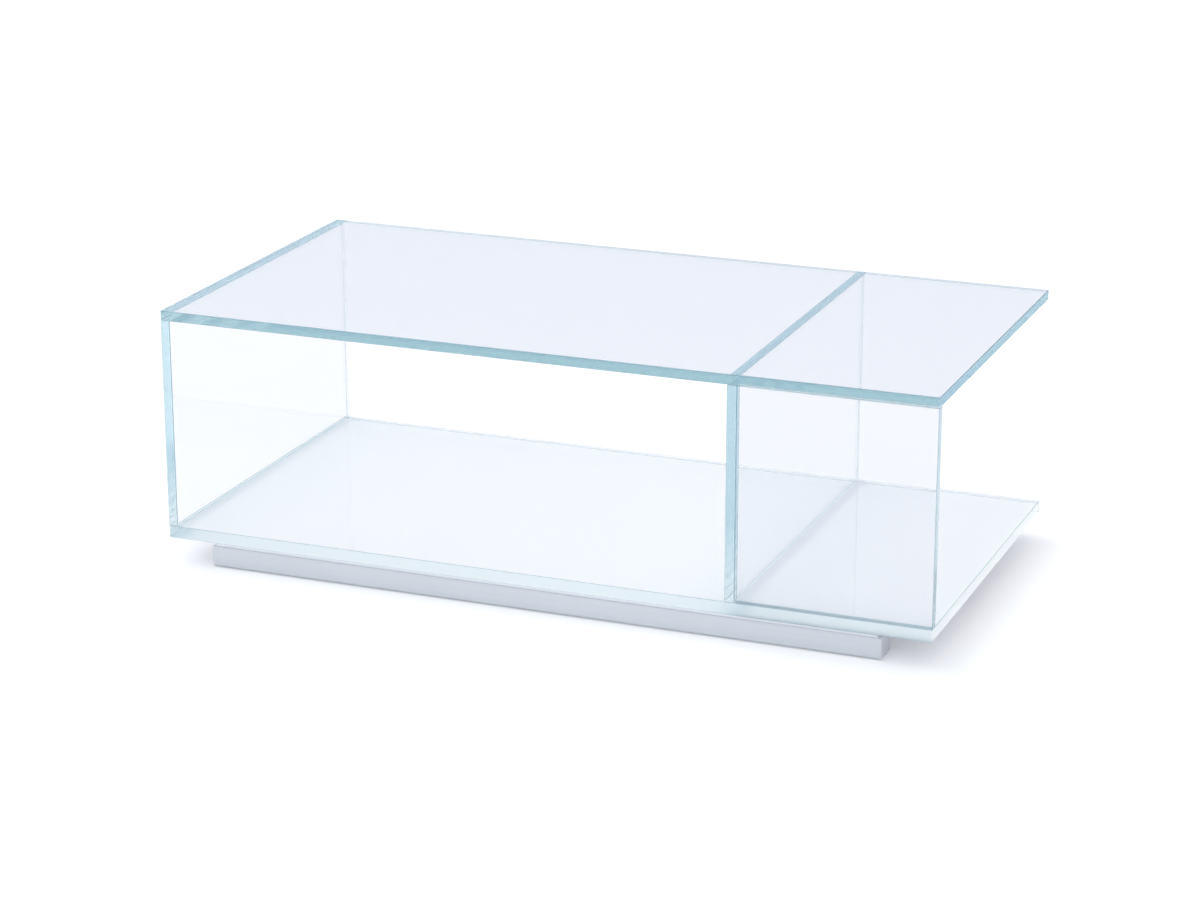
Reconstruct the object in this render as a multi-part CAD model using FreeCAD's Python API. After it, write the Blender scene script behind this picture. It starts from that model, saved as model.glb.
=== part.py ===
"""All-glass coffee table: bonded plates of extra-clear glass on two low tube runners.

Millimetres. X runs along the length, front is -Y, Z is up.
The origin is on the floor, under the middle of the table.
"""
import FreeCAD, Part
import os

from FreeCAD import Vector

# Overall glass box
table_length = 1200.0
table_depth = 600.0
glass_height = 357.0

# Plate thicknesses
top_thickness = 15.0
bottom_thickness = 19.0
end_thickness = 15.0
divider_thickness = 15.0
front_pane_thickness = 15.0

# Clear width of the bay between the left end plate and the divider
left_bay_width = 878.0

# Edge work on the glass
arris = 0.8
safety_corner_radius = 2.0

# Adhesive and paint layers
bond_thickness = 0.2
coat_thickness = 0.2
coat_margin = 1.5

# Runners: rounded rectangular tube, laid along the front and back edges
runner_end_inset = 73.0
runner_edge_inset = 0.5
runner_depth = 45.0
runner_height = 31.5
runner_wall = 2.0
runner_corner_radius = 2.5
runner_bore_radius = 1.0

# Foam tape between a runner and the coated glass, seen as a pale line above the runner
tape_thickness = 4.3
tape_width = 40.0
tape_end_margin = 4.0

# Plastic caps in the runner ends
cap_flange = 2.5
cap_flange_chamfer = 0.8
cap_plug_length = 14.0
cap_plug_wall = 2.0
cap_plug_clearance = 0.6
cap_fin_clearance = 0.1
cap_fin_thickness = 1.0
cap_fin_count = 3

# Felt glides under each runner
glide_diameter = 30.0
glide_thickness = 2.0
glide_end_distance = 40.0

# Levels, from the floor up
runner_bottom = glide_thickness
runner_top = runner_bottom + runner_height
coat_bottom = runner_top + tape_thickness
glass_bottom = coat_bottom + coat_thickness
bottom_top = glass_bottom + bottom_thickness
glass_top = glass_bottom + glass_height
top_bottom = glass_top - top_thickness

# Faces of the box
left = -table_length / 2
right = table_length / 2
front = -table_depth / 2
back = table_depth / 2
end_inner = left + end_thickness
divider_left = end_inner + left_bay_width
divider_right = divider_left + divider_thickness

# Upright plates fill the height between the two bond films
upright_bottom = bottom_top + bond_thickness
upright_top = top_bottom - bond_thickness

nodes = {}


def box(low, high):
    """A plain block between two corners."""
    return Part.makeBox(high[0] - low[0], high[1] - low[1], high[2] - low[2], Vector(*low))


def upright(low, high):
    """A standing glass plate, all twelve edges ground to a small arris."""
    plate = box(low, high)
    return plate.makeChamfer(arris, plate.Edges)


def table_plate(low, high):
    """A lying glass plate: four rounded safety corners, then an arris round both faces."""
    plate = box(low, high)
    corners = [edge for edge in plate.Edges if abs(edge.tangentAt(edge.FirstParameter).z) > 0.5]
    plate = plate.makeFillet(safety_corner_radius, corners)
    level = [edge for edge in plate.Edges if edge.BoundBox.ZLength < arris / 2]
    return plate.makeChamfer(arris, level)


def rounded_profile(depth, height, radius, x):
    """A closed rounded rectangle in the plane across X, centred on the X axis."""
    y = depth / 2
    z = height / 2
    turn = radius * (1 - 0.5 ** 0.5)
    corners = ((1, 1), (-1, 1), (-1, -1), (1, -1))
    arcs = []
    for sy, sz in corners:
        along_z = Vector(x, sy * y, sz * (z - radius))
        middle = Vector(x, sy * (y - turn), sz * (z - turn))
        along_y = Vector(x, sy * (y - radius), sz * z)
        ends = (along_z, along_y) if sy == sz else (along_y, along_z)
        arcs.append(Part.Arc(ends[0], middle, ends[1]))
    edges = []
    for index, arc in enumerate(arcs):
        following = arcs[(index + 1) % len(arcs)]
        edges.append(arc.toShape())
        edges.append(Part.LineSegment(arc.EndPoint, following.StartPoint).toShape())
    return Part.Wire(edges)


def rounded_bar(depth, height, radius, x_low, x_high):
    """A solid bar of that profile between two X planes."""
    face = Part.Face(rounded_profile(depth, height, radius, x_low))
    return face.extrude(Vector(x_high - x_low, 0, 0))


def bore_bar(clearance, x_low, x_high):
    """A bar that fits the runner's bore with that clearance all round."""
    shrink = 2 * (runner_wall + clearance)
    return rounded_bar(runner_depth - shrink, runner_height - shrink, runner_bore_radius, x_low, x_high)


def runner_tube(length):
    """The hollow tube of one runner, centred on the origin."""
    half = length / 2
    outer = rounded_bar(runner_depth, runner_height, runner_corner_radius, -half, half)
    return outer.cut(bore_bar(0, -half, half))


def runner_cap():
    """A moulded cap: a flange as large as the tube, and a hollow plug with fins that grip the bore.

    The flange lies from X = 0 outwards, and the plug points to -X.
    """
    flange = rounded_bar(runner_depth, runner_height, runner_corner_radius, 0, cap_flange)
    rim = [edge for edge in flange.Edges if edge.BoundBox.XMin > cap_flange / 2]
    flange = flange.makeChamfer(cap_flange_chamfer, rim)
    plug = bore_bar(cap_plug_clearance, -cap_plug_length, 0)
    fin_step = cap_plug_length / (cap_fin_count + 1)
    for index in range(cap_fin_count):
        fin_low = -(index + 1) * fin_step - cap_fin_thickness / 2
        plug = plug.fuse(bore_bar(cap_fin_clearance, fin_low, fin_low + cap_fin_thickness))
    hollow_y = runner_depth / 2 - runner_wall - cap_plug_clearance - cap_plug_wall
    hollow_z = runner_height / 2 - runner_wall - cap_plug_clearance - cap_plug_wall
    hollow = box((-cap_plug_length, -hollow_y, -hollow_z), (0, hollow_y, hollow_z))
    return flange.fuse(plug.cut(hollow)).removeSplitter()


def placed(shape, x, y, z, half_turn=False):
    """A copy of a shape, turned about Z if asked, then moved."""
    copy = shape.copy()
    if half_turn:
        copy.rotate(Vector(0, 0, 0), Vector(0, 0, 1), 180)
    copy.translate(Vector(x, y, z))
    return copy


# Lying plates
nodes["top_panel"] = table_plate((left, front, top_bottom), (right, back, glass_top))
nodes["bottom_panel"] = table_plate((left, front, glass_bottom), (right, back, bottom_top))
nodes["bottom_back_coat"] = box(
    (left + coat_margin, front + coat_margin, coat_bottom),
    (right - coat_margin, back - coat_margin, glass_bottom),
)

# Uprights, as plan rectangles: low x, low y, high x, high y
uprights = {
    "left_end": (left, front, end_inner, back),
    "divider": (divider_left, front, divider_right, back),
    "front_pane": (
        divider_right + bond_thickness,
        front,
        right,
        front + front_pane_thickness,
    ),
}
upright_nodes = {
    "left_end": "left_end_panel",
    "divider": "divider_panel",
    "front_pane": "front_pane",
}
for name, (x_low, y_low, x_high, y_high) in uprights.items():
    nodes[upright_nodes[name]] = upright((x_low, y_low, upright_bottom), (x_high, y_high, upright_top))

# Bond films above and below each upright, as wide as the flat of the ground edge
for name, (x_low, y_low, x_high, y_high) in uprights.items():
    low_corner = (x_low + arris, y_low + arris)
    high_corner = (x_high - arris, y_high - arris)
    nodes[name + "_bottom_bond"] = box((*low_corner, bottom_top), (*high_corner, upright_bottom))
    nodes[name + "_top_bond"] = box((*low_corner, upright_top), (*high_corner, top_bottom))

# Bond film between the divider and the standing end of the front pane
nodes["front_pane_left_bond"] = box(
    (divider_right, front + arris, upright_bottom + arris),
    (divider_right + bond_thickness, front + front_pane_thickness - arris, upright_top - arris),
)

# Runners with their caps, tape and glides
runner_half = table_length / 2 - runner_end_inset
tube_half = runner_half - cap_flange
runner_level = runner_bottom + runner_height / 2
runner_reach = table_depth / 2 - runner_edge_inset - runner_depth / 2
tube = runner_tube(2 * tube_half)
cap = runner_cap()
glide = Part.makeCylinder(glide_diameter / 2, glide_thickness)
for row, y in (("front", -runner_reach), ("rear", runner_reach)):
    nodes[row + "_runner"] = placed(tube, 0, y, runner_level)
    nodes[row + "_runner_right_cap"] = placed(cap, tube_half, y, runner_level)
    nodes[row + "_runner_left_cap"] = placed(cap, -tube_half, y, runner_level, half_turn=True)
    tape_half = tube_half - tape_end_margin
    nodes[row + "_runner_tape"] = box(
        (-tape_half, y - tape_width / 2, runner_top),
        (tape_half, y + tape_width / 2, coat_bottom),
    )
    glide_reach = runner_half - glide_end_distance
    for place, x in (("left", -glide_reach), ("middle", 0.0), ("right", glide_reach)):
        nodes[f"{row}_{place}_glide"] = placed(glide, x, y, 0)

os.makedirs("parts", exist_ok=True)
for name, shape in nodes.items():
    shape.exportStep(f"parts/{name}.step")
    print(f"{name}: {len(shape.Solids)} solid, {shape.Volume / 1000:.2f} cm3, valid {shape.isValid()}")
print(f"{len(nodes)} nodes, overall height {glass_top:.1f} mm")
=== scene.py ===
# %% [markdown]
# # An all-glass coffee table
# The table is a low box of thick extra-clear glass plates, bonded edge to face, on two low metal runners.
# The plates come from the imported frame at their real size, so this lesson is mostly about light in thick
# glass: how a clear plate gets its blue-green edge, how two bonded plates look like one, and how a plate
# with a white back stays pale. Geometry Nodes make the two things that repeat, the bond films and the felt
# glides.

import bpy
import math
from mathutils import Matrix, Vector


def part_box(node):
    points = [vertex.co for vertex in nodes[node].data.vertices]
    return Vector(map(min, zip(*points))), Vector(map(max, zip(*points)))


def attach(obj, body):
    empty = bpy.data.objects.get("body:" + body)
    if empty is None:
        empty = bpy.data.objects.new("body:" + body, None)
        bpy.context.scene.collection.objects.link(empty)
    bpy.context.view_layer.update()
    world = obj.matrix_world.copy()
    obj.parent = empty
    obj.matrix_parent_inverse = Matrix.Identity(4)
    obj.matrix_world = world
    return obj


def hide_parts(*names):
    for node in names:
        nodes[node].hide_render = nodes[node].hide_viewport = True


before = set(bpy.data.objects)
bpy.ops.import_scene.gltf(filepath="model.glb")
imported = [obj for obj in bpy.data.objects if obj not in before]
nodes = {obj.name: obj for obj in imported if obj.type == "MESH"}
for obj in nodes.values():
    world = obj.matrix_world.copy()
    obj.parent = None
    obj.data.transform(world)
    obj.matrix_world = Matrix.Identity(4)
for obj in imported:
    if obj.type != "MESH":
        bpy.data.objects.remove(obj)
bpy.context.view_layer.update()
scene = bpy.context.scene
MM = 0.001

# %% [markdown]
# ## Helpers for nodes and colours
# Colours are written as sRGB hex values, as a paint chart gives them, and a shader works in linear light,
# so one function turns the first into the second. Shader, world and geometry trees are all built from nodes,
# so one more function adds a node of any kind, sets it and links it.


# %% Helpers
def linear(hex_colour):
    """An opaque linear colour from an sRGB hex value, by the curve of the sRGB standard."""
    channels = [int(hex_colour[i:i + 2], 16) / 255 for i in (0, 2, 4)]
    return [c / 12.92 if c <= 0.04045 else ((c + 0.055) / 1.055) ** 2.4 for c in channels] + [1.0]


def add_node(tree, kind, settings=None, **sockets):
    """A new node. A socket is named with _ for a space, or numbered as i0, and takes a value or an output."""
    node = tree.nodes.new(kind)
    for name, value in (settings or {}).items():
        setattr(node, name, value)
    for name, value in sockets.items():
        numbered = name[0] == "i" and name[1:].isdigit()
        socket = node.inputs[int(name[1:]) if numbered else name.replace("_", " ")]
        if isinstance(value, bpy.types.NodeSocket):
            tree.links.new(value, socket)
        else:
            socket.default_value = value
    return node


def new_material(name):
    """An empty material, its node tree and its output node."""
    material = bpy.data.materials.new(name)
    material.use_nodes = True
    tree = material.node_tree
    tree.nodes.clear()
    return material, tree, tree.nodes.new("ShaderNodeOutputMaterial")


def dress(material, *names):
    """Give CAD nodes this material in all their slots."""
    for name in names:
        for slot in nodes[name].material_slots:
            slot.material = material
    print(material.name, "on", ", ".join(names))


# %% [markdown]
# ## The camera
# The photograph is taken with a long lens from the front, a little to the right and above.
# Edges that run together far away fix the lens and the direction, and the glass corners fix the distance.

# %% Camera
SENSOR_WIDTH_MM = 36.0
LENS_MM = 99.0
AZIMUTH_DEG = 21.535
ELEVATION_DEG = 18.04
DISTANCE = 4.920
AIM = Vector((0.0264, -0.1057, 0.1933))
CLIP_END = 100.0


def towards(azimuth_deg, elevation_deg):
    """A unit vector, turned from the front to the right by the azimuth and raised by the elevation."""
    azimuth = math.radians(azimuth_deg)
    elevation = math.radians(elevation_deg)
    level = math.cos(elevation)
    return Vector((math.sin(azimuth) * level, -math.cos(azimuth) * level, math.sin(elevation)))


camera_data = bpy.data.cameras.new("photo_camera")
camera_data.sensor_width = SENSOR_WIDTH_MM
camera_data.lens = LENS_MM
camera_data.clip_end = CLIP_END
camera = bpy.data.objects.new("photo_camera", camera_data)
scene.collection.objects.link(camera)
towards_camera = towards(AZIMUTH_DEG, ELEVATION_DEG)
camera.location = AIM + DISTANCE * towards_camera
camera.rotation_euler = (-towards_camera).to_track_quat("-Z", "Y").to_euler()
scene.camera = camera
scene.view_settings.view_transform = "Standard"
print("camera at", [round(v, 3) for v in camera.location])

# %% [markdown]
# ## The floor
# A pale floor stands in for the studio. It is a diffuse surface, so it keeps the table's shadow.
# For rays that the eye follows it gets a little light of its own, so that the open floor comes out white
# without more light on the table. Mirrored or seen through glass it gets less of it, so that a plate still
# shows as a faint tone against the white.

# %% Floor
FLOOR_SIZE = 60.0
FLOOR_COLOUR = "e8e9ec"
FLOOR_LIFT = 0.20
FLOOR_LIFT_IN_GLASS = 0.09


def floor_lift(tree):
    """The floor's own light: full for the eye itself, less in a mirror or through glass, otherwise none."""
    path = add_node(tree, "ShaderNodeLightPath")
    in_glass = add_node(
        tree, "ShaderNodeMath", {"operation": "MAXIMUM"},
        i0=path.outputs["Is Glossy Ray"], i1=path.outputs["Is Transmission Ray"],
    )
    less = add_node(
        tree, "ShaderNodeMath", {"operation": "MULTIPLY"}, i0=in_glass.outputs[0], i1=FLOOR_LIFT_IN_GLASS,
    )
    full = add_node(
        tree, "ShaderNodeMath", {"operation": "MULTIPLY"}, i0=path.outputs["Is Camera Ray"], i1=FLOOR_LIFT,
    )
    return add_node(
        tree, "ShaderNodeMath", {"operation": "MAXIMUM"}, i0=full.outputs[0], i1=less.outputs[0],
    ).outputs[0]


def make_floor():
    """A wide square floor at the level that the glides stand on."""
    half = FLOOR_SIZE / 2
    corners = [(-half, -half, 0), (half, -half, 0), (half, half, 0), (-half, half, 0)]
    mesh = bpy.data.meshes.new("studio_floor")
    mesh.from_pydata(corners, [], [(0, 1, 2, 3)])
    floor = bpy.data.objects.new("studio_floor", mesh)
    scene.collection.objects.link(floor)
    material, tree, output = new_material("pale_studio_floor")
    paint = add_node(tree, "ShaderNodeBsdfDiffuse", Color=linear(FLOOR_COLOUR))
    glow = add_node(tree, "ShaderNodeEmission", Strength=floor_lift(tree))
    both = add_node(tree, "ShaderNodeAddShader", i0=paint.outputs[0], i1=glow.outputs[0])
    tree.links.new(both.outputs[0], output.inputs["Surface"])
    mesh.materials.append(material)
    return floor


print("floor", make_floor().name, FLOOR_SIZE, "m square")

# %% [markdown]
# ## Studio light
# The light is a soft room: a wide white ceiling, cooler grey-blue walls and a white line at the horizon.
# The ceiling lights what lies under the glass. The walls are what the top mirrors at a low angle, and they
# give it the faint lavender of the photograph.
# A window on the left gives the light a direction: it throws a soft shadow of each upright's foot to the
# right, over the white back of the bottom plate, and one of the table over the floor. A lamp could do this
# too, but glass would mirror its outline, so the window is a bright patch of the room that fades out all
# round, and the rest of the room is a little brighter on that side as well.
# Glass this thick guides light from edge to edge, so the paths are long, and no path is blurred to save
# noise.

# %% Studio light
WALL_COLOUR = "d0d6e6"
WALL_STRENGTH = 1.0
CEILING_STRENGTH = 1.08
CEILING_FROM = 0.45
CEILING_FULL = 0.75
ROOM_STOPS = ((0.0, "ffffff"), (0.12, WALL_COLOUR), (0.42, WALL_COLOUR), (0.62, "ffffff"))
LEFT_SIDE_GAIN = 0.15
WINDOW_AZIMUTH_DEG = -105.0
WINDOW_ELEVATION_DEG = 45.0
WINDOW_FULL_DEG = 8.0
WINDOW_FADE_DEG = 24.0
WINDOW_STRENGTH = 2.4

scene.cycles.max_bounces = 104
scene.cycles.glossy_bounces = 96
scene.cycles.transmission_bounces = 96
scene.cycles.diffuse_bounces = 16
scene.cycles.transparent_max_bounces = 16
scene.cycles.blur_glossy = 0.0


def window_light(tree, direction):
    """The light that the window adds in a direction of the room: full in its middle, fading all round."""
    middle = towards(WINDOW_AZIMUTH_DEG, WINDOW_ELEVATION_DEG)
    near = add_node(tree, "ShaderNodeVectorMath", {"operation": "DOT_PRODUCT"}, i0=direction, i1=middle)
    rim = math.cos(math.radians(WINDOW_FADE_DEG))
    full = math.cos(math.radians(WINDOW_FULL_DEG))
    return add_node(
        tree, "ShaderNodeMapRange", {"interpolation_type": "SMOOTHSTEP"}, Value=near.outputs["Value"],
        i1=rim, i2=full, i3=0.0, i4=WINDOW_STRENGTH,
    ).outputs[0]


def make_world():
    """Room light by height above the horizon, with the window. The eye itself sees a plain white room."""
    world = bpy.data.worlds.new("soft_studio")
    scene.world = world
    world.use_nodes = True
    tree = world.node_tree
    tree.nodes.clear()
    output = tree.nodes.new("ShaderNodeOutputWorld")
    direction = add_node(tree, "ShaderNodeTexCoord").outputs["Generated"]
    split = add_node(tree, "ShaderNodeSeparateXYZ", Vector=direction)
    height = split.outputs["Z"]
    ramp = add_node(tree, "ShaderNodeValToRGB", Fac=height)
    elements = ramp.color_ramp.elements
    for index, (position, colour) in enumerate(ROOM_STOPS):
        element = elements[index] if index < len(elements) else elements.new(position)
        element.position = position
        element.color = linear(colour)
    ceiling = add_node(
        tree, "ShaderNodeMapRange", Value=height,
        i1=CEILING_FROM, i2=CEILING_FULL, i3=WALL_STRENGTH, i4=CEILING_STRENGTH,
    )
    side = add_node(
        tree, "ShaderNodeMath", {"operation": "MULTIPLY_ADD"},
        i0=split.outputs["X"], i1=-LEFT_SIDE_GAIN, i2=1.0,
    )
    strength = add_node(
        tree, "ShaderNodeMath", {"operation": "MULTIPLY_ADD"},
        i0=ceiling.outputs[0], i1=side.outputs[0], i2=window_light(tree, direction),
    )
    room = add_node(
        tree, "ShaderNodeBackground", Color=ramp.outputs["Color"], Strength=strength.outputs[0],
    )
    plain = add_node(tree, "ShaderNodeBackground", Color=linear("ffffff"), Strength=1.0)
    camera_ray = add_node(tree, "ShaderNodeLightPath").outputs["Is Camera Ray"]
    mix = add_node(tree, "ShaderNodeMixShader", i0=camera_ray, i1=room.outputs[0], i2=plain.outputs[0])
    tree.links.new(mix.outputs[0], output.inputs["Surface"])
    return world


print("world", make_world().name, "with a ceiling of", CEILING_STRENGTH, "and a window of", WINDOW_STRENGTH)

# %% [markdown]
# ## Bonded joints
# Where a plate is bonded, clear adhesive fills the joint and light goes straight on, as if the two were one
# piece. Plain plates with a gap would mirror there, and their edges would go dark. So the glass bends light
# only where it meets air, and its shader has to know when a point lies in a joint. Every joint is a box, so
# the depth inside a box is enough.

# %% Bonded joints
BONDS = [name for name in nodes if name.endswith("_bond")]
JOINT_REACH = 0.1 * MM


def inside_joint(tree):
    """A number that is above 0 within any bond's box, and below 0 elsewhere."""
    place = add_node(tree, "ShaderNodeTexCoord").outputs["Object"]
    spare = Vector((JOINT_REACH, JOINT_REACH, JOINT_REACH))
    deepest = None
    for name in BONDS:
        low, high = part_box(name)
        middle = (low + high) / 2
        reach = (high - low) / 2 + spare
        offset = add_node(tree, "ShaderNodeVectorMath", {"operation": "SUBTRACT"}, i0=place, i1=middle)
        distance = add_node(tree, "ShaderNodeVectorMath", {"operation": "ABSOLUTE"}, i0=offset.outputs[0])
        room = add_node(
            tree, "ShaderNodeVectorMath", {"operation": "SUBTRACT"}, i0=reach, i1=distance.outputs[0],
        )
        split = add_node(tree, "ShaderNodeSeparateXYZ", Vector=room.outputs[0])
        level = add_node(
            tree, "ShaderNodeMath", {"operation": "MINIMUM"}, i0=split.outputs["X"], i1=split.outputs["Y"],
        )
        depth = add_node(
            tree, "ShaderNodeMath", {"operation": "MINIMUM"}, i0=level.outputs[0], i1=split.outputs["Z"],
        )
        deepest = depth if deepest is None else add_node(
            tree, "ShaderNodeMath", {"operation": "MAXIMUM"}, i0=deepest.outputs[0], i1=depth.outputs[0],
        )
    return deepest.outputs[0]


print(len(BONDS), "joints where light goes straight on")

# %% [markdown]
# ## Ground edges
# The faces are as smooth as the float bath left them. The edges are ground and polished by wheels, which
# leaves them a little less sharp. Some edges also get a darker tint, which is painted shade. The arris
# between a face and an edge is a narrow bevel, taken off with a coarse belt and left matt, so it draws a fine
# darker line round each plate. A plate is a box, so the direction of its surface tells which of the three a
# point is on.

# %% Ground edges
FACE_FROM = 0.9
ARRIS_FROM = 0.5
FACING_AWAY = -0.5


def ground_edge(tree, face_axis):
    """Masks for a plate whose faces look along face_axis: 1 on its edges, and 1 on its arrises alone."""
    normal = add_node(tree, "ShaderNodeNewGeometry").outputs["Normal"]
    along = add_node(tree, "ShaderNodeVectorMath", {"operation": "DOT_PRODUCT"}, i0=normal, i1=face_axis)
    facing = add_node(tree, "ShaderNodeMath", {"operation": "ABSOLUTE"}, i0=along.outputs["Value"])
    edge = add_node(tree, "ShaderNodeMath", {"operation": "LESS_THAN"}, i0=facing.outputs[0], i1=FACE_FROM)
    slanted = add_node(
        tree, "ShaderNodeMath", {"operation": "GREATER_THAN"}, i0=facing.outputs[0], i1=ARRIS_FROM,
    )
    arris = add_node(
        tree, "ShaderNodeMath", {"operation": "MULTIPLY"}, i0=edge.outputs[0], i1=slanted.outputs[0],
    )
    return edge.outputs[0], arris.outputs[0]


def painted_shade_edges(tree, edge, painted_shade_side):
    """1 on the edges that get the painted shade: those that don't face away from the given side."""
    geometry = add_node(tree, "ShaderNodeNewGeometry")
    turn = add_node(
        tree, "ShaderNodeMath", {"operation": "MULTIPLY_ADD"},
        i0=geometry.outputs["Backfacing"], i1=-2.0, i2=1.0,
    )
    outward = add_node(
        tree, "ShaderNodeVectorMath", {"operation": "SCALE"},
        i0=geometry.outputs["Normal"], Scale=turn.outputs[0],
    )
    along = add_node(
        tree, "ShaderNodeVectorMath", {"operation": "DOT_PRODUCT"}, i0=outward.outputs[0], i1=painted_shade_side,
    )
    facing = add_node(
        tree, "ShaderNodeMath", {"operation": "GREATER_THAN"}, i0=along.outputs["Value"], i1=FACING_AWAY,
    )
    return add_node(
        tree, "ShaderNodeMath", {"operation": "MULTIPLY"}, i0=edge, i1=facing.outputs[0],
    ).outputs[0]


print("an edge is turned from the face by more than", round(math.degrees(math.acos(FACE_FROM))), "degrees")

# %% [markdown]
# ## Extra-clear float glass
# Low-iron glass is clear through its face. Along its edge the eye looks through half a metre or more of it,
# and the little iron that is left takes out red, so the edge is a light blue-green. A tint on the surface
# would colour the faces too, so the colour is put in the volume, per metre of glass.
# The wheel polishes an edge unevenly along its length. Most edges of the top and the bottom get a faint
# darker grey-green, which is painted shade. Their right-hand edges are left clear, so they come out lighter:
# painted light on the side away from the window. The divider's edges that face up and back get a darker
# grey, painted shade for the dimmer light on the right of the table. The front pane is a shade greyer
# through its face than the others, which is painted shade over the right-hand bay.

# %% Glass
GLASS_IOR = 1.52
GLASS_TINT = "89deec"
GLASS_TINT_PER_METRE = 0.8
EDGE_ROUGHNESS = (0.15, 0.19)
EDGE_POLISH_PATCH = 9.0 * MM
PATCH_RANGE = (0.3, 0.7)
ARRIS_TINT = "8fa6b0"
ARRIS_ROUGHNESS = 0.35
ALL_ROUND = (0, 0, 0)
UP_AND_BACK = (0, 1, 1)
NOT_RIGHT = (-1, 0, 0)
CLEAR = "ffffff"
# For each plate: the way its faces look, their painted shade, the painted shade on its edges, and the side
# that has it
PLATES = {
    "top_panel": ((0, 0, 1), CLEAR, "c6dada", NOT_RIGHT),
    "bottom_panel": ((0, 0, 1), CLEAR, "dce8ec", NOT_RIGHT),
    "left_end_panel": ((1, 0, 0), CLEAR, CLEAR, ALL_ROUND),
    "divider_panel": ((1, 0, 0), CLEAR, "ccd8de", UP_AND_BACK),
    "front_pane": ((0, 1, 0), "f9f9fb", CLEAR, ALL_ROUND),
}


def extra_clear_glass(name, face_axis, face_painted_shade, edge_painted_shade, painted_shade_side):
    """Polished low-iron float glass: sharp clear faces, faintly soft edges, colour along its length."""
    material, tree, output = new_material(name)
    place = add_node(tree, "ShaderNodeTexCoord").outputs["Object"]
    patches = add_node(tree, "ShaderNodeTexNoise", Vector=place, Scale=1 / EDGE_POLISH_PATCH, Detail=2.0)
    polish = add_node(
        tree, "ShaderNodeMapRange", Value=patches.outputs[0],
        i1=PATCH_RANGE[0], i2=PATCH_RANGE[1], i3=EDGE_ROUGHNESS[0], i4=EDGE_ROUGHNESS[1],
    )
    edge, arris = ground_edge(tree, face_axis)
    polished = add_node(tree, "ShaderNodeMath", {"operation": "MULTIPLY"}, i0=edge, i1=polish.outputs[0])
    roughness = add_node(
        tree, "ShaderNodeMath", {"operation": "MULTIPLY_ADD"},
        i0=arris, i1=ARRIS_ROUGHNESS, i2=polished.outputs[0],
    )
    # Painted shade: the chosen edges, and the front pane's face, get a darker tint than clear glass.
    painted_shade_colour = add_node(
        tree, "ShaderNodeMix", {"data_type": "RGBA"},
        i0=painted_shade_edges(tree, edge, painted_shade_side), i6=linear(face_painted_shade), i7=linear(edge_painted_shade),
    )
    colour = add_node(
        tree, "ShaderNodeMix", {"data_type": "RGBA"}, i0=arris, i6=painted_shade_colour.outputs[2], i7=linear(ARRIS_TINT),
    )
    free = add_node(tree, "ShaderNodeMath", {"operation": "LESS_THAN"}, i0=inside_joint(tree), i1=0.0)
    index = add_node(
        tree, "ShaderNodeMath", {"operation": "MULTIPLY_ADD"},
        i0=free.outputs[0], i1=GLASS_IOR - 1, i2=1.0,
    )
    surface = add_node(
        tree, "ShaderNodeBsdfPrincipled",
        Base_Color=colour.outputs[2], Roughness=roughness.outputs[0], IOR=index.outputs[0],
        Transmission_Weight=1.0,
    )
    tint = add_node(
        tree, "ShaderNodeVolumeAbsorption", Color=linear(GLASS_TINT), Density=GLASS_TINT_PER_METRE,
    )
    tree.links.new(surface.outputs[0], output.inputs["Surface"])
    tree.links.new(tint.outputs[0], output.inputs["Volume"])
    return material


for plate, finish in PLATES.items():
    dress(extra_clear_glass("extra_clear_glass_" + plate, *finish), plate)

# %% [markdown]
# ## Growing pieces with Geometry Nodes
# A geometry tree says how a form repeats. It works on a seed mesh, here a few points, with named sizes as its
# inputs. Once it has run, its result is kept as a plain mesh, so nothing is worked out again later.


# %% Geometry Nodes helpers
def geometry_tree(name, *sizes):
    """A new geometry tree with a geometry input and output, and a number for each named size."""
    tree = bpy.data.node_groups.new(name, "GeometryNodeTree")
    tree.interface.new_socket("Geometry", in_out="INPUT", socket_type="NodeSocketGeometry")
    for size in sizes:
        tree.interface.new_socket(size, in_out="INPUT", socket_type="NodeSocketFloat")
    tree.interface.new_socket("Geometry", in_out="OUTPUT", socket_type="NodeSocketGeometry")
    return tree, tree.nodes.new("NodeGroupInput"), tree.nodes.new("NodeGroupOutput")


def seed_points(name, boxes):
    """A mesh with one point in the middle of each box."""
    seed = bpy.data.meshes.new(name)
    seed.from_pydata([(low + high) / 2 for low, high in boxes], [], [])
    return seed


def grown(name, seed_mesh, tree, sizes, material):
    """Run a geometry tree on a seed mesh, and give back an object with the result as a plain mesh."""
    seed = bpy.data.objects.new(name + "_seed", seed_mesh)
    scene.collection.objects.link(seed)
    modifier = seed.modifiers.new("nodes", "NODES")
    modifier.node_group = tree
    for item in tree.interface.items_tree:
        if item.in_out == "INPUT" and item.name in sizes:
            modifier[item.identifier] = sizes[item.name]
    depsgraph = bpy.context.evaluated_depsgraph_get()
    mesh = bpy.data.meshes.new_from_object(seed.evaluated_get(depsgraph))
    mesh.name = name
    seed.modifiers.remove(modifier)
    bpy.data.objects.remove(seed)
    # An empty material slot comes along with the new mesh, so the slots are filled again
    mesh.materials.clear()
    mesh.materials.append(material)
    piece = bpy.data.objects.new(name, mesh)
    scene.collection.objects.link(piece)
    print(name, len(mesh.polygons), "faces of", material.name)
    return piece


# %% [markdown]
# ## Bond films
# A bonded joint is a film of clear acrylic, cured by ultraviolet light, about 0.2 mm thick.
# Every film is a thin slab in its joint, so the rule is one slab per joint, each with its own size.
# Geometry Nodes suit that: one point stands for each joint and carries its size, and the tree puts a unit
# slab on each. The slab stays clear of both plates by a hair, because two faces in one place would flicker.
# Most films can hardly be seen. The one under the front pane is a piece of its own, greyer and more solid:
# painted shade, a thin dark line along the pane's foot where the joint gets little light.

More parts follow.
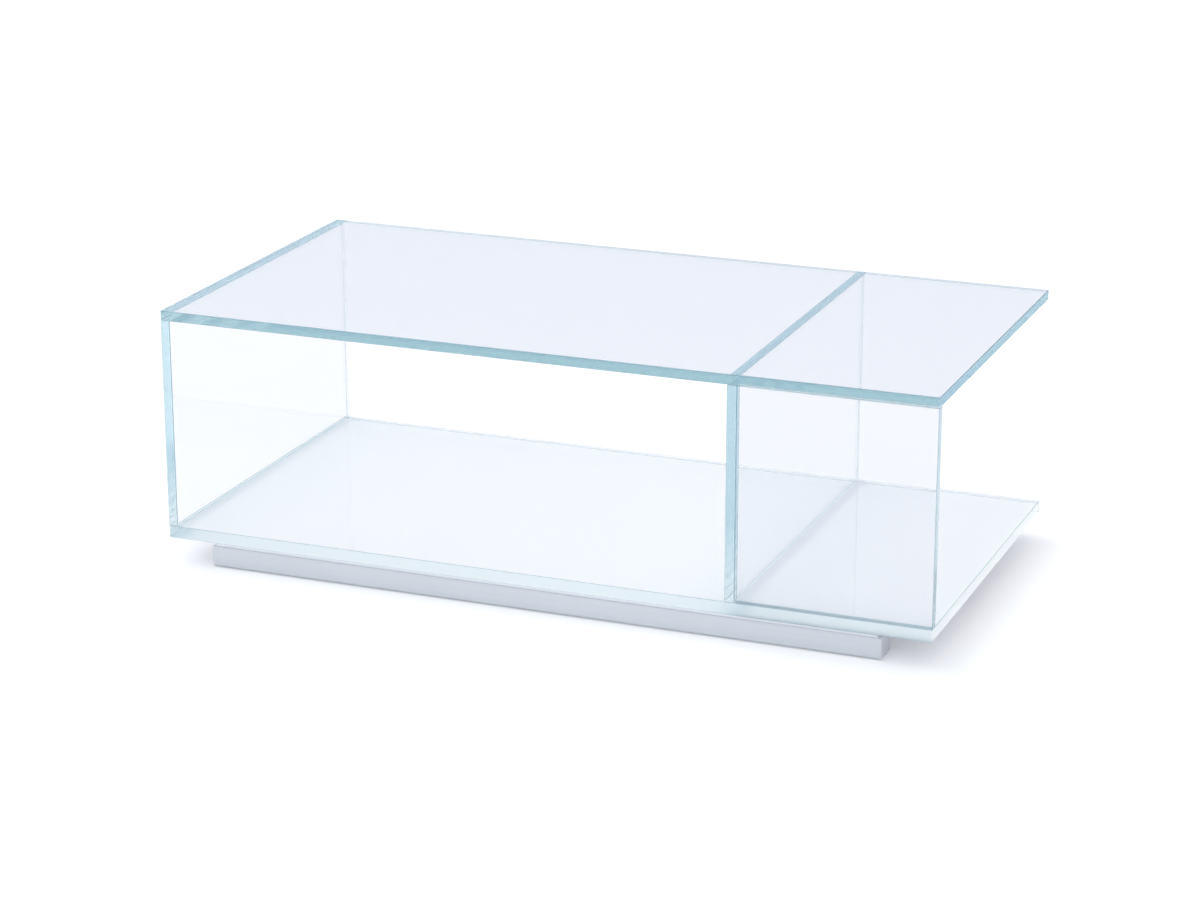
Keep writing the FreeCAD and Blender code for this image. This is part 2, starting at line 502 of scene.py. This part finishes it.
# %% Bond films
FILM_CLEARANCE = 0.03 * MM
FLOW_MARK = 14.0 * MM
BOTH_SIDES_LESS = (-2, -2, -2)
PANE_FOOT = ["front_pane_bottom_bond"]


def uv_cured_acrylic(name, dark, pale, alpha):
    """An acrylic film, milky by its alpha, with faint flow marks from the bead it was laid as."""
    material, tree, output = new_material(name)
    place = add_node(tree, "ShaderNodeTexCoord").outputs["Object"]
    flow = add_node(tree, "ShaderNodeTexNoise", Vector=place, Scale=1 / FLOW_MARK, Detail=3.0)
    colour = add_node(
        tree, "ShaderNodeMix", {"data_type": "RGBA"},
        i0=flow.outputs[0], i6=linear(dark), i7=linear(pale),
    )
    surface = add_node(
        tree, "ShaderNodeBsdfPrincipled",
        Base_Color=colour.outputs[2], Roughness=0.35, IOR=1.48, Alpha=alpha,
    )
    tree.links.new(surface.outputs[0], output.inputs["Surface"])
    return material


def bond_film_tree(material):
    """One slab on each point, as large as the point's film_size less the clearance all round."""
    tree, given, result = geometry_tree("bond_film_tree", "Clearance")
    size = add_node(tree, "GeometryNodeInputNamedAttribute", {"data_type": "FLOAT_VECTOR"}, Name="film_size")
    less = add_node(
        tree, "ShaderNodeVectorMath", {"operation": "MULTIPLY_ADD"},
        i0=given.outputs["Clearance"], i1=BOTH_SIDES_LESS, i2=size.outputs[0],
    )
    slab = add_node(tree, "GeometryNodeMeshCube")
    placed = add_node(
        tree, "GeometryNodeInstanceOnPoints",
        Points=given.outputs["Geometry"], Instance=slab.outputs["Mesh"], Scale=less.outputs[0],
    )
    real = add_node(tree, "GeometryNodeRealizeInstances", Geometry=placed.outputs[0])
    finished = add_node(tree, "GeometryNodeSetMaterial", Geometry=real.outputs[0], Material=material)
    tree.links.new(finished.outputs[0], result.inputs["Geometry"])
    return tree


def bond_films(name, bonds, material):
    """A row of bond films as one piece."""
    boxes = [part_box(bond) for bond in bonds]
    seed = seed_points("joint_centres", boxes)
    sizes = seed.attributes.new("film_size", "FLOAT_VECTOR", "POINT")
    for item, (low, high) in zip(sizes.data, boxes):
        item.vector = high - low
    films = grown(name, seed, bond_film_tree(material), {"Clearance": FILM_CLEARANCE}, material)
    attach(films, "root")
    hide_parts(*bonds)


clear_film = uv_cured_acrylic("uv_cured_acrylic_film", "d3ebf2", "eef8fb", 0.12)
# The grey film under the front pane is painted shade along its foot.
painted_shade_film = uv_cured_acrylic("acrylic_bead_painted_shade", "aabfc7", "bfd0d6", 0.65)
bond_films("bond_films", [bond for bond in BONDS if bond not in PANE_FOOT], clear_film)
bond_films("pane_foot_painted_shade_film", PANE_FOOT, painted_shade_film)

# %% [markdown]
# ## The white back of the bottom plate
# The bottom plate is painted white on its underside. Paint wets the glass: there is no air between them,
# so the white is seen straight through the plate and glows at its front edge.
# A white slab under the plate would leave that air gap, so the film's top face is put a hair inside the
# glass.

# %% White back lacquer
WET_DEPTH = 0.1 * MM
ROLLER_MARK = 4.0 * MM
PEEL_DEPTH = 0.05 * MM


def white_lacquer():
    """Rolled two-part lacquer: smooth on the glass, with a fine orange peel where it dried in air."""
    material, tree, output = new_material("white_back_lacquer")
    place = add_node(tree, "ShaderNodeTexCoord").outputs["Object"]
    peel = add_node(tree, "ShaderNodeTexNoise", Vector=place, Scale=1 / ROLLER_MARK, Detail=2.0)
    bump = add_node(tree, "ShaderNodeBump", Strength=0.25, Distance=PEEL_DEPTH, Height=peel.outputs[0])
    colour = add_node(
        tree, "ShaderNodeMix", {"data_type": "RGBA"},
        i0=peel.outputs[0], i6=linear("fefcfc"), i7=linear("fffdfd"),
    )
    surface = add_node(
        tree, "ShaderNodeBsdfPrincipled",
        Base_Color=colour.outputs[2], Roughness=0.55, IOR=1.5, Normal=bump.outputs[0],
    )
    tree.links.new(surface.outputs[0], output.inputs["Surface"])
    return material


def back_coat():
    """The lacquer film over the whole underside of the bottom plate."""
    low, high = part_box("bottom_back_coat")
    top = high.z + WET_DEPTH
    plan = ((low.x, low.y), (high.x, low.y), (high.x, high.y), (low.x, high.y))
    corners = [(x, y, z) for z in (low.z, top) for x, y in plan]
    sides = [(i, (i + 1) % 4, (i + 1) % 4 + 4, i + 4) for i in range(4)]
    mesh = bpy.data.meshes.new("white_back_coat")
    mesh.from_pydata(corners, [], [(3, 2, 1, 0), (4, 5, 6, 7)] + sides)
    mesh.materials.append(white_lacquer())
    coat = bpy.data.objects.new("white_back_coat", mesh)
    scene.collection.objects.link(coat)
    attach(coat, "root")
    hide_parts("bottom_back_coat")
    return coat


print(back_coat().name, "sits", WET_DEPTH / MM, "mm inside the glass")

# %% [markdown]
# ## Brushed steel runners
# The runners are rectangular steel tube, brushed along their length. A brush leaves fine parallel scratches,
# far longer than they are wide, so the noise is stretched along X until it is streaks.

# %% Brushed steel
STREAK_LENGTH = 260.0 * MM
STREAK_WIDTH = 1.6 * MM
SCRATCH_DEPTH = 0.02 * MM
STEEL_ROUGHNESS = (0.30, 0.48)


def brushed_steel():
    """Pale satin steel: long streaks that vary its shine. Real scratches are finer than the streaks here."""
    material, tree, output = new_material("brushed_steel")
    place = add_node(tree, "ShaderNodeTexCoord").outputs["Object"]
    stretch = (1 / STREAK_LENGTH, 1 / STREAK_WIDTH, 1 / STREAK_WIDTH)
    stretched = add_node(tree, "ShaderNodeMapping", Vector=place, Scale=stretch)
    streaks = add_node(tree, "ShaderNodeTexNoise", Vector=stretched.outputs[0], Scale=1.0, Detail=4.0)
    colour = add_node(
        tree, "ShaderNodeMix", {"data_type": "RGBA"},
        i0=streaks.outputs[0], i6=linear("d2d7dc"), i7=linear("e0e4e8"),
    )
    shine = add_node(
        tree, "ShaderNodeMapRange", Value=streaks.outputs[0], i3=STEEL_ROUGHNESS[0], i4=STEEL_ROUGHNESS[1],
    )
    bump = add_node(tree, "ShaderNodeBump", Strength=0.3, Distance=SCRATCH_DEPTH, Height=streaks.outputs[0])
    surface = add_node(
        tree, "ShaderNodeBsdfPrincipled",
        Base_Color=colour.outputs[2], Metallic=1.0, Roughness=shine.outputs[0], Normal=bump.outputs[0],
    )
    tree.links.new(surface.outputs[0], output.inputs["Surface"])
    return material


dress(brushed_steel(), "front_runner", "rear_runner")

# %% [markdown]
# ## Moulded end caps
# Pale grey plastic caps close the tube ends. The mould was spark-eroded, which leaves a fine matt grain.

# %% Cap plastic
CAP_GRAIN = 0.9 * MM
GRAIN_DEPTH = 0.05 * MM
CAP_ROUGHNESS = (0.45, 0.65)


def moulded_plastic():
    """Pale grey polypropylene with a fine spark-eroded grain, drawn a little coarse so that it shows."""
    material, tree, output = new_material("moulded_polypropylene")
    place = add_node(tree, "ShaderNodeTexCoord").outputs["Object"]
    grain = add_node(tree, "ShaderNodeTexNoise", Vector=place, Scale=1 / CAP_GRAIN, Detail=3.0)
    colour = add_node(
        tree, "ShaderNodeMix", {"data_type": "RGBA"},
        i0=grain.outputs[0], i6=linear("d6dade"), i7=linear("e4e7ea"),
    )
    shine = add_node(
        tree, "ShaderNodeMapRange", Value=grain.outputs[0], i3=CAP_ROUGHNESS[0], i4=CAP_ROUGHNESS[1],
    )
    bump = add_node(tree, "ShaderNodeBump", Strength=0.4, Distance=GRAIN_DEPTH, Height=grain.outputs[0])
    surface = add_node(
        tree, "ShaderNodeBsdfPrincipled",
        Base_Color=colour.outputs[2], Roughness=shine.outputs[0], IOR=1.49, Normal=bump.outputs[0],
    )
    tree.links.new(surface.outputs[0], output.inputs["Surface"])
    return material


dress(moulded_plastic(), *[name for name in nodes if name.endswith("_cap")])

# %% [markdown]
# ## Foam tape
# White acrylic foam tape holds each runner to the painted glass. Its cut edge shows small closed cells.
# The weight of the glass squeezes the foam, so its long sides bulge out until they are nearly flush with the
# runner, and catch the light as a pale line. The solid has straight sides, so the tape is made again here,
# as a profile with bulged sides drawn out along the runner.

# %% Foam tape
TAPES = [name for name in nodes if name.endswith("_tape")]
SQUEEZE = 2.2 * MM
SQUEEZE_STEPS = 8
SQUEEZE_POWER = 4
FOAM_CELL = 0.8 * MM
CELL_DEPTH = 0.1 * MM


def foam_tape():
    """Closed-cell acrylic foam, cut with a knife: a pale matt edge pitted with cells."""
    material, tree, output = new_material("acrylic_foam_tape")
    place = add_node(tree, "ShaderNodeTexCoord").outputs["Object"]
    cells = add_node(tree, "ShaderNodeTexVoronoi", Vector=place, Scale=1 / FOAM_CELL).outputs["Distance"]
    colour = add_node(
        tree, "ShaderNodeMix", {"data_type": "RGBA"}, i0=cells, i6=linear("fafcff"), i7=linear("eef3f7"),
    )
    bump = add_node(tree, "ShaderNodeBump", Strength=0.5, Distance=CELL_DEPTH, Height=cells)
    surface = add_node(
        tree, "ShaderNodeBsdfPrincipled",
        Base_Color=colour.outputs[2], Roughness=0.8, Normal=bump.outputs[0],
    )
    tree.links.new(surface.outputs[0], output.inputs["Surface"])
    return material


def squeezed_tapes():
    """Both tapes as one piece. Each keeps its length and thickness, and its long sides bulge."""
    heights = [2 * step / SQUEEZE_STEPS - 1 for step in range(SQUEEZE_STEPS + 1)]
    corners, faces = [], []
    for name in TAPES:
        low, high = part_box(name)
        half = (high.z - low.z) / 2
        side = [(SQUEEZE * (1 - t ** SQUEEZE_POWER), low.z + half * (t + 1)) for t in heights]
        profile = [(low.y - out, z) for out, z in side] + [(high.y + out, z) for out, z in reversed(side)]
        first, count = len(corners), len(profile)
        corners += [(x, y, z) for x in (low.x, high.x) for y, z in profile]
        faces.append([first + i for i in range(count)])
        faces.append([first + count + i for i in reversed(range(count))])
        for i in range(count):
            j = (i + 1) % count
            faces.append((first + i, first + count + i, first + count + j, first + j))
    mesh = bpy.data.meshes.new("squeezed_tapes")
    mesh.from_pydata(corners, [], faces)
    mesh.materials.append(foam_tape())
    tapes = bpy.data.objects.new("squeezed_tapes", mesh)
    scene.collection.objects.link(tapes)
    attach(tapes, "root")
    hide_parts(*TAPES)
    return tapes


print(squeezed_tapes().name, "bulge by", SQUEEZE / MM, "mm")

# %% [markdown]
# ## Felt glides
# Six stick-on felt discs keep the steel off the floor, three under each runner.
# They are all alike, so a point in the middle of each carries one disc that Geometry Nodes make once. The die
# that cuts felt leaves a slightly frayed rim, so the rim of the disc is pulled in and out a little by noise.

# %% Felt glides
GLIDES = [name for name in nodes if name.endswith("_glide")]
GLIDE_SIDES = 48
GLIDE_RINGS = 4
FRAY = 0.5 * MM
FRAY_SPACING = 2.5 * MM
FELT_FIBRE = 1.2 * MM
FIBRE_DEPTH = 0.2 * MM
IN_PLAN = (1, 1, 0)


def pressed_felt():
    """Pressed wool felt: matt, with short fibres that lie every way and catch a little light at the rim."""
    material, tree, output = new_material("pressed_grey_felt")
    place = add_node(tree, "ShaderNodeTexCoord").outputs["Object"]
    fibres = add_node(
        tree, "ShaderNodeTexNoise", Vector=place, Scale=1 / FELT_FIBRE, Detail=5.0, Distortion=1.5,
    )
    colour = add_node(
        tree, "ShaderNodeMix", {"data_type": "RGBA"},
        i0=fibres.outputs[0], i6=linear("7f8285"), i7=linear("a3a6a9"),
    )
    bump = add_node(tree, "ShaderNodeBump", Strength=0.6, Distance=FIBRE_DEPTH, Height=fibres.outputs[0])
    surface = add_node(
        tree, "ShaderNodeBsdfPrincipled",
        Base_Color=colour.outputs[2], Roughness=0.95, Sheen_Weight=0.3, Normal=bump.outputs[0],
    )
    tree.links.new(surface.outputs[0], output.inputs["Surface"])
    return material


def glide_tree(material):
    """A frayed felt disc on each point of the seed mesh."""
    tree, given, result = geometry_tree("felt_glide_tree", "Radius", "Thickness")
    disc = add_node(
        tree, "GeometryNodeMeshCylinder", Vertices=GLIDE_SIDES, Side_Segments=GLIDE_RINGS,
        Radius=given.outputs["Radius"], Depth=given.outputs["Thickness"],
    )
    place = add_node(tree, "GeometryNodeInputPosition").outputs[0]
    noise = add_node(tree, "ShaderNodeTexNoise", Vector=place, Scale=1 / FRAY_SPACING, Detail=1.0)
    pull = add_node(tree, "ShaderNodeMath", {"operation": "MULTIPLY"}, i0=noise.outputs[0], i1=-FRAY)
    level = add_node(tree, "ShaderNodeVectorMath", {"operation": "MULTIPLY"}, i0=place, i1=IN_PLAN)
    outward = add_node(tree, "ShaderNodeVectorMath", {"operation": "NORMALIZE"}, i0=level.outputs[0])
    shift = add_node(
        tree, "ShaderNodeVectorMath", {"operation": "SCALE"}, i0=outward.outputs[0], Scale=pull.outputs[0],
    )
    frayed = add_node(tree, "GeometryNodeSetPosition", Geometry=disc.outputs["Mesh"], Offset=shift.outputs[0])
    placed = add_node(
        tree, "GeometryNodeInstanceOnPoints", Points=given.outputs["Geometry"], Instance=frayed.outputs[0],
    )
    real = add_node(tree, "GeometryNodeRealizeInstances", Geometry=placed.outputs[0])
    finished = add_node(tree, "GeometryNodeSetMaterial", Geometry=real.outputs[0], Material=material)
    tree.links.new(finished.outputs[0], result.inputs["Geometry"])
    return tree


def felt_glides():
    """All six glides as one piece."""
    boxes = [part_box(name) for name in GLIDES]
    low, high = boxes[0]
    size = high - low
    sizes = {"Radius": size.x / 2, "Thickness": size.z}
    seed = seed_points("glide_centres", boxes)
    material = pressed_felt()
    glides = grown("felt_glides", seed, glide_tree(material), sizes, material)
    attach(glides, "root")
    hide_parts(*GLIDES)


felt_glides()
